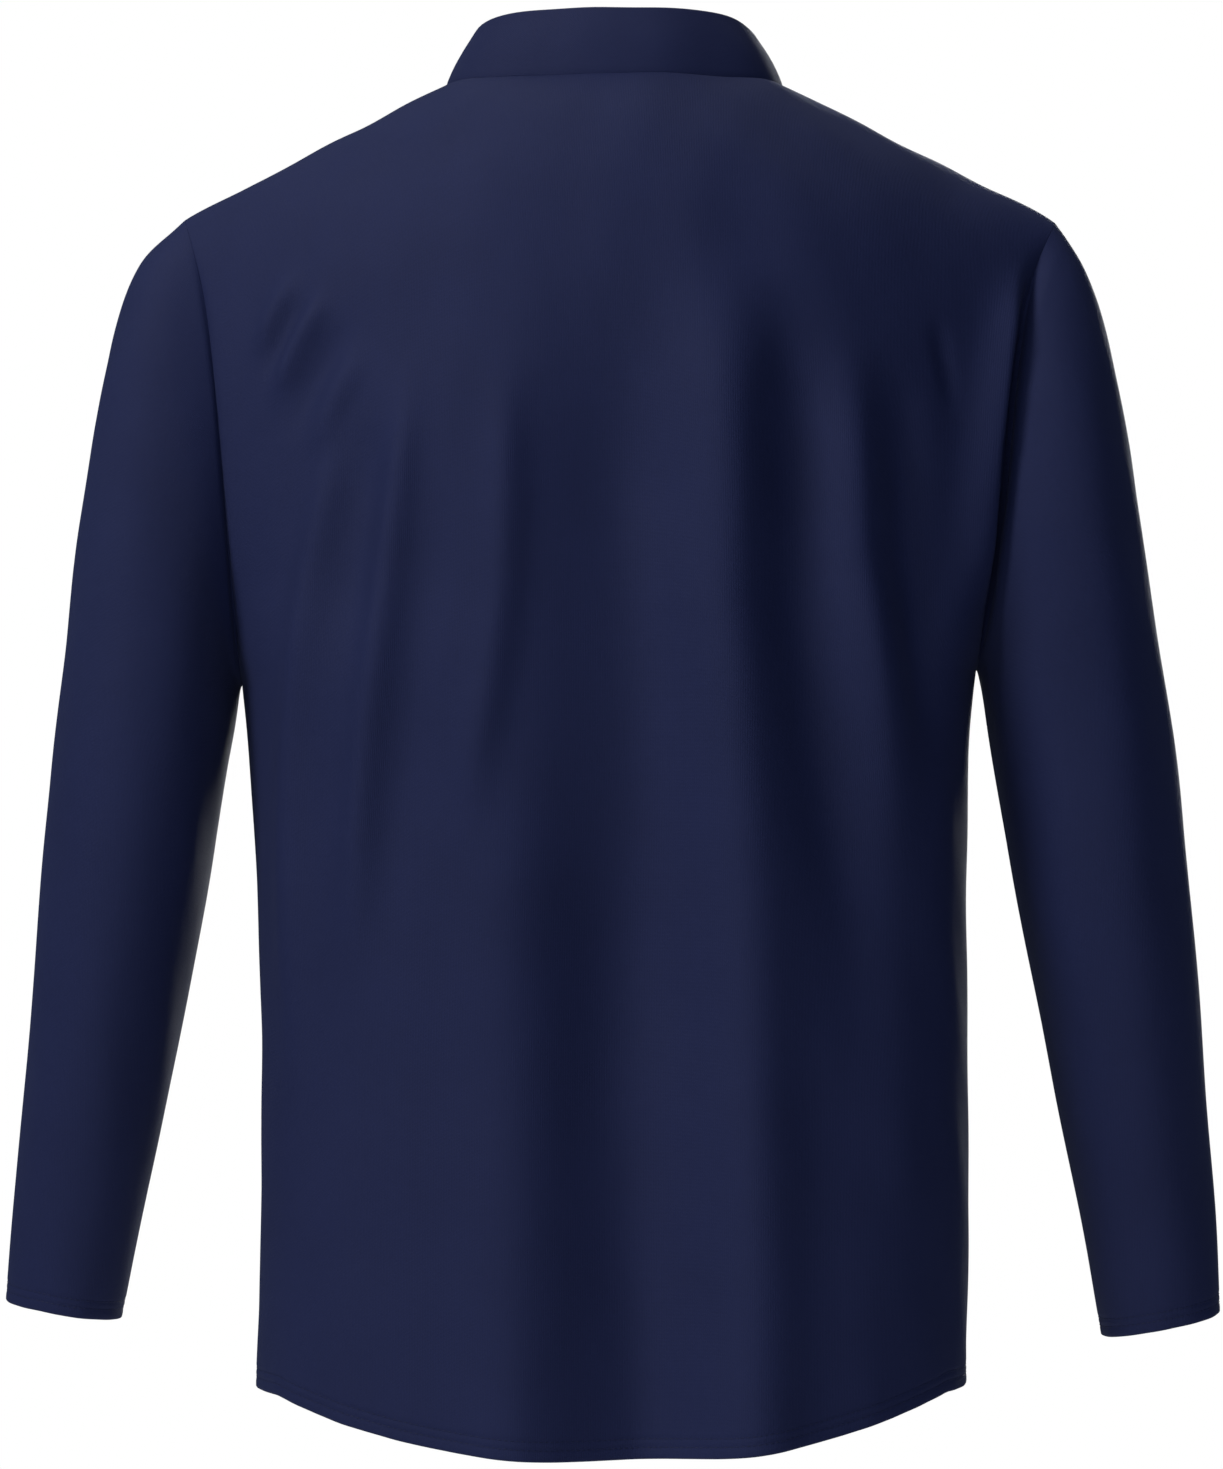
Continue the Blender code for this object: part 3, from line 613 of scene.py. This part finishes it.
# SEWING UP
# Each piece gets its wall inwards, thicker over the overlocked seam edges and the turn-ups, with a rounded
# fold at the hem, the cuffs and the top of the collar.
CLOTH = 0.0015
ALLOWANCE_WIDTH = 0.006  # the overlocked edges inside each seam
ALLOWANCE_THICKNESS = 0.0012
FOLD_RADIUS = 0.0015
LEAST_THICKNESS = 0.0003
SEAM_GAP = 0.00003
LEAST_SINE = 0.3  # where a seam runs closer than this to its outward direction, the next point's is used
LEAST_MITRE = 0.6
STITCH_HEIGHTS = (0.0062, 0.0107)  # the two rows of the coverstitch, above the fold
STITCH_GROOVE = Valley(0.00032, 0.0012)
PUCKER = 0.00035
PUCKER_WAVES = ((0.017, 0.3), (0.029, 1.9), (0.046, 4.1))  # length and phase
PUCKER_REACH = 1.3  # in heights of the turn-up


def folded_in(distance):
    """How far a folded edge is rounded in at this distance from the fold."""
    short = np.clip(FOLD_RADIUS - distance, 0, FOLD_RADIUS)
    return FOLD_RADIUS - np.sqrt(FOLD_RADIUS**2 - short**2)


def puckered(distance, around):
    """How far the coverstitch draws the cloth in and lets it out again beside the rows."""
    total = np.zeros_like(distance)
    for height in STITCH_HEIGHTS:
        total -= STITCH_GROOVE.depth * np.exp(-(((distance - height) / STITCH_GROOVE.width) ** 2))
    ripple = sum(np.sin(around * 2 * math.pi / length + phase) for length, phase in PUCKER_WAVES)
    reach = PUCKER_REACH * TURN_UP
    return total + PUCKER / len(PUCKER_WAVES) * ripple * np.exp(-((distance / reach) ** 2))


def sewn_edge(rows, columns, closed):
    """The places along a piece's sewn edge, in order, with the piece always on the same hand."""
    if closed:
        return [(0, j % columns) for j in range(columns, -1, -1)]
    up = [(i, 0) for i in range(rows)]
    over = [(rows - 1, j) for j in range(1, columns)]
    return up + over + [(i, columns - 1) for i in range(rows - 2, -1, -1)]


def pulled_back(outer, normal, closed):
    """The points with the sewn edge moved half a seam gap into the piece, mitred where the edge turns."""
    moved = outer.copy()
    edge = sewn_edge(*outer.shape[:2], closed)
    steps = defaultdict(list)
    for here, there in zip(edge, edge[1:]):
        along = unit(outer[there] - outer[here])
        for end, other in ((here, there), (there, here)):
            inward = np.cross(along, normal[end])
            if np.linalg.norm(inward) < LEAST_SINE:
                inward = np.cross(along, normal[other])
            steps[end].append(unit(inward))
    for place, found in steps.items():
        first, last = found[0], found[-1]
        moved[place] += (first + last) / max(1 + first @ last, LEAST_MITRE) * SEAM_GAP / 2
    return moved


def cut_girth(outer, closed):
    """The length of each row, all round on a closed piece."""
    wide = np.concatenate([outer, outer[:, :1]], 1) if closed else outer
    return np.linalg.norm(np.diff(wide, axis=1), axis=2).sum(1)


def wall_mesh(name, outer, inner, closed, cut):
    """A closed wall from its two grids, with the places on the flat cut, in metres, as its UV map."""
    rows, columns = outer.shape[:2]
    spans = columns if closed else columns - 1
    points = np.concatenate([outer.reshape(-1, 3), inner.reshape(-1, 3)])
    place = np.arange(rows * columns).reshape(rows, columns)
    i, j = np.meshgrid(np.arange(rows - 1), np.arange(spans), indexing="ij")
    i, j = i.ravel(), j.ravel()
    k = (j + 1) % columns
    out = np.stack([place[i, j], place[i, k], place[i + 1, k], place[i + 1, j]], 1)
    back_of = rows * columns
    ins = out[:, ::-1] + back_of
    j, k = np.arange(spans), (np.arange(spans) + 1) % columns
    rims = [
        np.stack([place[0, j] + back_of, place[0, k] + back_of, place[0, k], place[0, j]], 1),
        np.stack([place[-1, j], place[-1, k], place[-1, k] + back_of, place[-1, j] + back_of], 1),
    ]
    if not closed:
        i = np.arange(rows - 1)
        left, right = place[:, 0], place[:, -1]
        rims.append(np.stack([left[i], left[i + 1], left[i + 1] + back_of, left[i] + back_of], 1))
        rims.append(np.stack([right[i] + back_of, right[i + 1] + back_of, right[i + 1], right[i]], 1))
    faces = np.concatenate([out, ins, *rims])
    mesh = bpy.data.meshes.new(name)
    mesh.from_pydata(points.tolist(), [], faces.tolist())
    mesh.shade_smooth()
    corner_cut = np.concatenate([cut.reshape(-1, 2)] * 2)[faces]
    girth = np.concatenate([np.repeat(cut_girth(outer, closed), columns)] * 2)[faces]
    wraps = (corner_cut[..., 0].max(1) - corner_cut[..., 0].min(1) > girth.max(1) / 2)[:, None] & closed
    corner_cut[..., 0] += np.where(wraps & (corner_cut[..., 0] < 0), girth, 0)
    uv = mesh.uv_layers.new(name="cut")
    uv.uv.foreach_set("vector", corner_cut.reshape(-1).astype(np.float32))
    return mesh


def on_the_cut(grid, closed, from_fold):
    """Each point's place on the flat cut: around from the middle, and up from the folded edge."""
    around = distance_along(grid.transpose(1, 0, 2)).T
    middle = cut_girth(grid, closed)[:, None] / 2
    return np.stack([around - middle, from_fold], -1)


from_fold = {}  # how far each point lies from its piece's folded edge
for name, grid in grids.items():
    from_fold[name] = distance_along(grid[::-1])[::-1] if closed[name] else distance_along(grid)

outer_skin = {}
cuts = {}
meshes = {}
for name, grid in grids.items():
    cuts[name] = on_the_cut(grid, closed[name], from_fold[name])
    rise = rise_out[name] - folded_in(from_fold[name])
    if name != "collar":
        rise = rise + puckered(from_fold[name], cuts[name][..., 0]) * ease(seam_clear[name] / CREASE_CLEAR)
    thickness = CLOTH + ALLOWANCE_THICKNESS * ease((ALLOWANCE_WIDTH - seam_clear[name]) / CLOTH)
    if name == "collar":
        thickness = thickness + CLOTH
    else:
        thickness = thickness + CLOTH * ease((TURN_UP - from_fold[name]) / CLOTH)
    thickness = np.maximum(thickness - 2 * folded_in(from_fold[name]), LEAST_THICKNESS)
    outer_skin[name] = pulled_back(grid + normals[name] * rise[..., None], normals[name], closed[name])
    inner = outer_skin[name] - normals[name] * thickness[..., None]
    meshes[name] = wall_mesh(name + "_cloth", outer_skin[name], inner, closed[name], cuts[name])

# THE KNIT
# A fine brushed jersey in navy: small upright stitches under a short nap, a little uneven in colour, matt,
# with a soft sheen where it turns away. Painted shade darkens the colour in the gaps between the stitches.
NAVY = (0.0095, 0.0133, 0.0460)
COLLAR_NAVY = (0.0092, 0.0128, 0.0440)
WALE = 0.0009
COURSE = 0.0007
STITCH_SLANT = 0.55  # how far each stitch's legs rise, as a share of a course
KNIT_RELIEF = 0.00007
# painted shade in the gaps between the stitches: the colour's middle share and its spread over the loops
LOOP_PAINTED_SHADE = 0.97
LOOP_PAINTED_SHADE_SPREAD = 0.10
Noise = namedtuple("Noise", "size detail")
NAP = Noise(0.0011, 3.0)
NAP_RELIEF = 0.00012
NAP_SPREAD = 0.15
COCKLE = Noise(0.016, 2.0)  # faint unevenness from wear and washing
COCKLE_RELIEF = 0.00035
SHADE = Noise(0.045, 5.0)
SHADE_SPREAD = 0.10
ROUGHNESS = 0.66
ROUGHNESS_SPREAD = 0.08
SPECULAR = 0.10
SHEEN = 0.02
SHEEN_ROUGHNESS = 0.35
SHEEN_TINT = (0.62, 0.70, 1.0, 1.0)
NODE_STEP = 180  # between nodes in the editor


class Nodes:
    """Adds nodes to a tree, in a row, and joins them."""

    def __init__(self, tree):
        self.tree = tree

    def give(self, node, inputs):
        """Sets a node's inputs, or joins them to other nodes."""
        for socket, value in inputs.items():
            if isinstance(value, bpy.types.NodeSocket):
                self.tree.links.new(value, node.inputs[socket])
            else:
                node.inputs[socket].default_value = value

    def add(self, kind, inputs=None, **settings):
        """A new node with its settings and inputs."""
        node = self.tree.nodes.new(kind)
        node.location = (NODE_STEP * len(self.tree.nodes), 0)
        for setting, value in settings.items():
            setattr(node, setting, value)
        self.give(node, inputs or {})
        return node

    def maths(self, operation, *values):
        """One sum or function of the values."""
        return self.add("ShaderNodeMath", dict(enumerate(values)), operation=operation).outputs[0]

    def scaled(self, colour, depth):
        """A colour made deeper or paler."""
        inputs = {0: colour, "Scale": depth}
        return self.add("ShaderNodeVectorMath", inputs, operation="SCALE").outputs[0]

    def noise(self, place, shape):
        """Soft noise from 0 to 1."""
        inputs = {"Vector": place, "Scale": 1 / shape.size, "Detail": shape.detail}
        return self.add("ShaderNodeTexNoise", inputs).outputs[0]

    def varied(self, noise, middle, spread):
        """A middle value, give or take a spread."""
        return self.maths("MULTIPLY_ADD", noise, 2 * spread, middle - spread)

    def bump(self, height, relief, normal=None):
        """The surface's direction over a relief, on top of a coarser one if that is given."""
        inputs = {"Strength": 1.0, "Distance": relief, "Height": height}
        if normal is not None:
            inputs["Normal"] = normal
        return self.add("ShaderNodeBump", inputs).outputs[0]


def new_material(name):
    """A new material, its nodes and its shader."""
    material = bpy.data.materials.new(name)
    material.use_nodes = True
    return material, Nodes(material.node_tree), material.node_tree.nodes["Principled BSDF"]


def knit(name, colour):
    """The knit as a material that follows the piece's cut."""
    material, nodes, surface = new_material(name)
    cut = nodes.add("ShaderNodeUVMap", uv_map="cut").outputs[0]
    place = nodes.add("ShaderNodeTexCoord").outputs["Object"]
    parts = nodes.add("ShaderNodeSeparateXYZ", {0: cut})
    around, along = parts.outputs[0], parts.outputs[1]

    # the legs of each stitch lean together, so the courses look like rows of small Vs
    wale = nodes.maths("FRACT", nodes.maths("DIVIDE", around, WALE))
    lean = nodes.maths("ABSOLUTE", nodes.maths("SUBTRACT", wale, 0.5))
    slant = nodes.maths("MULTIPLY", lean, 2 * STITCH_SLANT)
    course = nodes.maths("ADD", nodes.maths("DIVIDE", along, COURSE), slant)
    legs = nodes.maths("SINE", nodes.maths("MULTIPLY", course, 2 * math.pi))
    ribs = nodes.maths("SINE", nodes.maths("MULTIPLY", around, 2 * math.pi / WALE))
    loops = nodes.maths("MULTIPLY_ADD", legs, 0.5, nodes.maths("MULTIPLY", ribs, 0.5))

    nap = nodes.noise(place, NAP)
    cockle = nodes.noise(place, COCKLE)
    shade = nodes.noise(place, SHADE)
    bent = None
    for height, relief in ((cockle, COCKLE_RELIEF), (nap, NAP_RELIEF), (loops, KNIT_RELIEF)):
        bent = nodes.bump(height, relief, bent)
    depth = nodes.varied(shade, 1, SHADE_SPREAD)
    # painted shade: the colour is made darker in the gaps between the stitches, where the loops lie low
    depth = nodes.maths("MULTIPLY", depth, nodes.maths("MULTIPLY_ADD", loops, LOOP_PAINTED_SHADE_SPREAD, LOOP_PAINTED_SHADE))
    depth = nodes.maths("MULTIPLY", depth, nodes.varied(nap, 1, NAP_SPREAD))
    nodes.give(
        surface,
        {
            "Base Color": nodes.scaled(colour, depth),
            "Roughness": nodes.varied(nap, ROUGHNESS, ROUGHNESS_SPREAD),
            "Normal": bent,
            "Metallic": 0.0,
            "Specular IOR Level": SPECULAR,
            "Sheen Weight": SHEEN,
            "Sheen Roughness": SHEEN_ROUGHNESS,
            "Sheen Tint": SHEEN_TINT,
        },
    )
    return material


def new_object(name, data):
    """A new object in the scene, at the origin."""
    thing = bpy.data.objects.new(name, data)
    bpy.context.scene.collection.objects.link(thing)
    return thing


finish = {"shell": knit("navy_knit", NAVY), "collar": knit("collar_knit", COLLAR_NAVY)}
pieces = {}
for name, mesh in meshes.items():
    slot = "collar" if name == "collar" else "shell"
    mesh.materials.append(finish[slot])
    piece = new_object(name + "_cloth", mesh)
    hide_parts(name)
    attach(piece, "root")
    pieces[name] = piece

# STITCHING
# The hem and both cuffs are held by a coverstitch in thread of the same navy: two rows of short stitches on
# the outside, each row in a shallow groove. A stitch is one slim bead along its row.
THREAD = (0.0075, 0.0105, 0.0350)
THREAD_RADIUS = 0.00026
THREAD_SIDES = 8
THREAD_RINGS = 5
STITCH_LENGTH = 0.0024
STITCH_SPACING = 0.0031
THREAD_ROUGHNESS = 0.55
THREAD_SPECULAR = 0.15
TWIST = Noise(0.0004, 2.0)
TWIST_SPREAD = 0.25

thread, thread_nodes, thread_surface = new_material("thread")
twist_place = thread_nodes.add("ShaderNodeTexCoord").outputs["Object"]
twist = thread_nodes.varied(thread_nodes.noise(twist_place, TWIST), 1, TWIST_SPREAD)
thread_nodes.give(
    thread_surface,
    {
        "Base Color": thread_nodes.scaled(THREAD, twist),
        "Roughness": THREAD_ROUGHNESS,
        "Specular IOR Level": THREAD_SPECULAR,
    },
)

stitching = bpy.data.node_groups.new("coverstitch", "GeometryNodeTree")
stitching.is_modifier = True
for label, kind in (("Path", "NodeSocketGeometry"), ("Spacing", "NodeSocketFloat"),
                    ("Stitch Length", "NodeSocketFloat"), ("Thread Radius", "NodeSocketFloat"),
                    ("Thread", "NodeSocketMaterial")):
    stitching.interface.new_socket(label, in_out="INPUT", socket_type=kind)
stitching.interface.new_socket("Stitches", in_out="OUTPUT", socket_type="NodeSocketGeometry")
tree = Nodes(stitching)
given = tree.add("NodeGroupInput").outputs
path = tree.add("GeometryNodeMeshToCurve", {"Mesh": given["Path"]}).outputs[0]
steps = {"Curve": path, "Length": given["Spacing"]}
points = tree.add("GeometryNodeResampleCurve", steps, mode="LENGTH").outputs[0]
ball = {"Segments": THREAD_SIDES, "Rings": THREAD_RINGS, "Radius": 1.0}
bead = tree.add("GeometryNodeMeshUVSphere", ball).outputs["Mesh"]
bead = tree.add("GeometryNodeSetShadeSmooth", {"Geometry": bead}).outputs[0]
half_length = tree.maths("MULTIPLY", given["Stitch Length"], 0.5)
radius = given["Thread Radius"]
size = tree.add("ShaderNodeCombineXYZ", {0: half_length, 1: radius, 2: radius}).outputs[0]
outward_at = tree.add("GeometryNodeInputNamedAttribute", {"Name": "outward"}, data_type="FLOAT_VECTOR")
tangent = tree.add("GeometryNodeInputTangent").outputs[0]
turned = tree.add("FunctionNodeAxesToRotation", {0: tangent, 1: outward_at.outputs[0]},
                  primary_axis="X", secondary_axis="Z").outputs[0]
laid = {"Points": points, "Instance": bead, "Rotation": turned, "Scale": size}
laid = tree.add("GeometryNodeInstanceOnPoints", laid).outputs[0]
real = tree.add("GeometryNodeRealizeInstances", {0: laid}).outputs[0]
threaded = tree.add("GeometryNodeSetMaterial", {"Geometry": real, "Material": given["Thread"]}).outputs[0]
tree.add("NodeGroupOutput", {"Stitches": threaded})


def stitch_path(name, height):
    """The line on a piece's outside at this height above its folded edge, and its outward directions."""
    distance = from_fold[name]
    line, directions = [], []
    for j in range(distance.shape[1]):
        up, skin, normal = distance[:, j], outer_skin[name][:, j], normals[name][:, j]
        if up[0] > up[-1]:
            up, skin, normal = up[::-1], skin[::-1], normal[::-1]
        line.append([np.interp(height, up, skin[:, c]) for c in range(3)])
        directions.append([np.interp(height, up, normal[:, c]) for c in range(3)])
    return line, directions


def coverstitch(name):
    """Both rows of stitches along a piece's turned-up edge."""
    points, edges, directions = [], [], []
    for height in STITCH_HEIGHTS:
        line, outs = stitch_path(name, height)
        first = len(points)
        points += line
        directions += outs
        edges += [(first + k, first + k + 1) for k in range(len(line) - 1)]
        if closed[name]:
            edges.append((first + len(line) - 1, first))
    lines = bpy.data.meshes.new("stitch_lines")
    lines.from_pydata(points, edges, [])
    outs = lines.attributes.new("outward", "FLOAT_VECTOR", "POINT")
    outs.data.foreach_set("vector", np.array(directions).reshape(-1))
    guide = new_object("stitch_lines", lines)
    modifier = guide.modifiers.new("coverstitch", "NODES")
    modifier.node_group = stitching
    values = {"Spacing": STITCH_SPACING, "Stitch Length": STITCH_LENGTH,
              "Thread Radius": THREAD_RADIUS, "Thread": thread}
    for item in stitching.interface.items_tree:
        if item.name in values:
            modifier[item.identifier] = values[item.name]
    bpy.context.view_layer.update()
    made = guide.evaluated_get(bpy.context.evaluated_depsgraph_get())
    mesh = bpy.data.meshes.new_from_object(made)
    guide.modifiers.remove(modifier)
    bpy.data.objects.remove(guide, do_unlink=True)
    mesh.name = name + "_stitches"
    piece = new_object(name + "_stitches", mesh)
    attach(piece, "root")
    return piece


stitches = {name: coverstitch(name) for name in grids if name != "collar"}

# THE FLAT CUTS
# What shows of each piece, as it lay on the cutting table, in metres and square metres. It is taken all
# round on the sleeves and the collar, and is without seam allowances, turn-ups and the collar's inner half.
Cut = namedtuple("Cut", "width length area")
CUTS = {
    "back": Cut(0.54, 0.78, 0.370),
    "front": Cut(0.52, 0.77, 0.346),
    "sleeve_left": Cut(0.40, 0.607, 0.157),
    "sleeve_right": Cut(0.40, 0.607, 0.161),
    "collar": Cut(0.532, 0.044, 0.0188),
}
for name, piece in pieces.items():
    cut = CUTS[name]
    with_it = [stitches[name]] if name in stitches else []

# THE STUDIO
# A pale floor where the wearer would stand, a white surround, and four soft lights: from the camera's left
# and above, from beside it, from the far side and from overhead. The camera looks level at the back.
CAMERA_PLACE = (0.0008, 2.8, -0.354)
CAMERA_LENS = 127.07
CAMERA_SENSOR = 36.0
CAMERA_REACH = 50.0
FLOOR_Z = -1.5
FLOOR_RADIUS = 2.8
FLOOR_CORNERS = 96
FLOOR_FADE_FROM = 0.7
FLOOR_COLOUR = (0.86, 0.86, 0.86, 1.0)
FLOOR_ROUGHNESS = 0.8
WHITE = (1.0, 1.0, 1.0, 1.0)  # the surround as the camera sees it
AMBIENT = (0.085, 0.110, 0.180, 1.0)  # what it adds to the cloth's light

scene = bpy.context.scene
scene.view_settings.view_transform = "Standard"

camera_data = bpy.data.cameras.new("camera")
camera_data.lens = CAMERA_LENS
camera_data.sensor_width = CAMERA_SENSOR
camera_data.clip_end = CAMERA_REACH
camera = new_object("camera", camera_data)
camera.location = CAMERA_PLACE
camera.rotation_euler = (math.pi / 2, 0.0, math.pi)
scene.camera = camera

Light = namedtuple("Light", "name place size power tint")
LIGHTS = (
    Light("key", (2.05, 1.60, 1.60), 1.0, 100.0, (1.0, 0.99, 0.98)),
    Light("fill", (0.1, 3.2, -0.1), 1.4, 33.0, (0.95, 0.97, 1.0)),
    Light("far_side", (-0.8, -3.1, 0.2), 1.8, 66.0, (0.97, 0.98, 1.0)),
    Light("top", (0.0, -0.7, 2.7), 1.8, 30.0, (1.0, 1.0, 1.0)),
)
LIGHT_TARGET = (0.0, 0.0, -0.35)


def aimed(place, target):
    """The turn that points a light's face from its place to the target."""
    x, y, z = (t - p for p, t in zip(place, target))
    return (math.atan2(math.hypot(x, y), -z), 0.0, math.atan2(-x, y))


for light in LIGHTS:
    lamp = bpy.data.lights.new(light.name, "AREA")
    lamp.shape = "DISK"
    lamp.size = light.size
    lamp.energy = light.power
    lamp.color = light.tint
    holder = new_object(light.name, lamp)
    holder.location = light.place
    holder.rotation_euler = aimed(light.place, LIGHT_TARGET)
    holder.visible_camera = False

surround = bpy.data.worlds.new("surround")
surround.use_nodes = True
scene.world = surround
sky = Nodes(surround.node_tree)
seen = sky.add("ShaderNodeLightPath").outputs["Is Camera Ray"]
# a Mix of colours has them on sockets 6 and 7, and its result on output 2
shown = sky.add("ShaderNodeMix", {"Factor": seen, 6: AMBIENT, 7: WHITE}, data_type="RGBA").outputs[2]
sky.give(surround.node_tree.nodes["Background"], {"Color": shown, "Strength": 1.0})

floor_mesh = bpy.data.meshes.new("floor")
ring = np.linspace(0, 2 * math.pi, FLOOR_CORNERS, endpoint=False)
rim_points = np.stack([FLOOR_RADIUS * np.cos(ring), FLOOR_RADIUS * np.sin(ring), 0 * ring], 1)
floor_mesh.from_pydata(rim_points.tolist(), [], [list(range(FLOOR_CORNERS))])
floor = new_object("floor", floor_mesh)
floor.location = (0.0, 0.0, FLOOR_Z)
floor_paint, floor_nodes, floor_surface = new_material("floor")
floor_place = floor_nodes.add("ShaderNodeTexCoord").outputs["Object"]
reach = floor_nodes.add("ShaderNodeVectorMath", {0: floor_place}, operation="LENGTH").outputs["Value"]
fade = floor_nodes.add(
    "ShaderNodeMapRange",
    {"Value": reach, "From Min": FLOOR_FADE_FROM, "From Max": FLOOR_RADIUS, "To Min": 1.0, "To Max": 0.0},
    interpolation_type="SMOOTHSTEP",
).outputs[0]
floor_nodes.give(floor_surface, {"Base Color": FLOOR_COLOUR, "Roughness": FLOOR_ROUGHNESS, "Alpha": fade})
floor_mesh.materials.append(floor_paint)
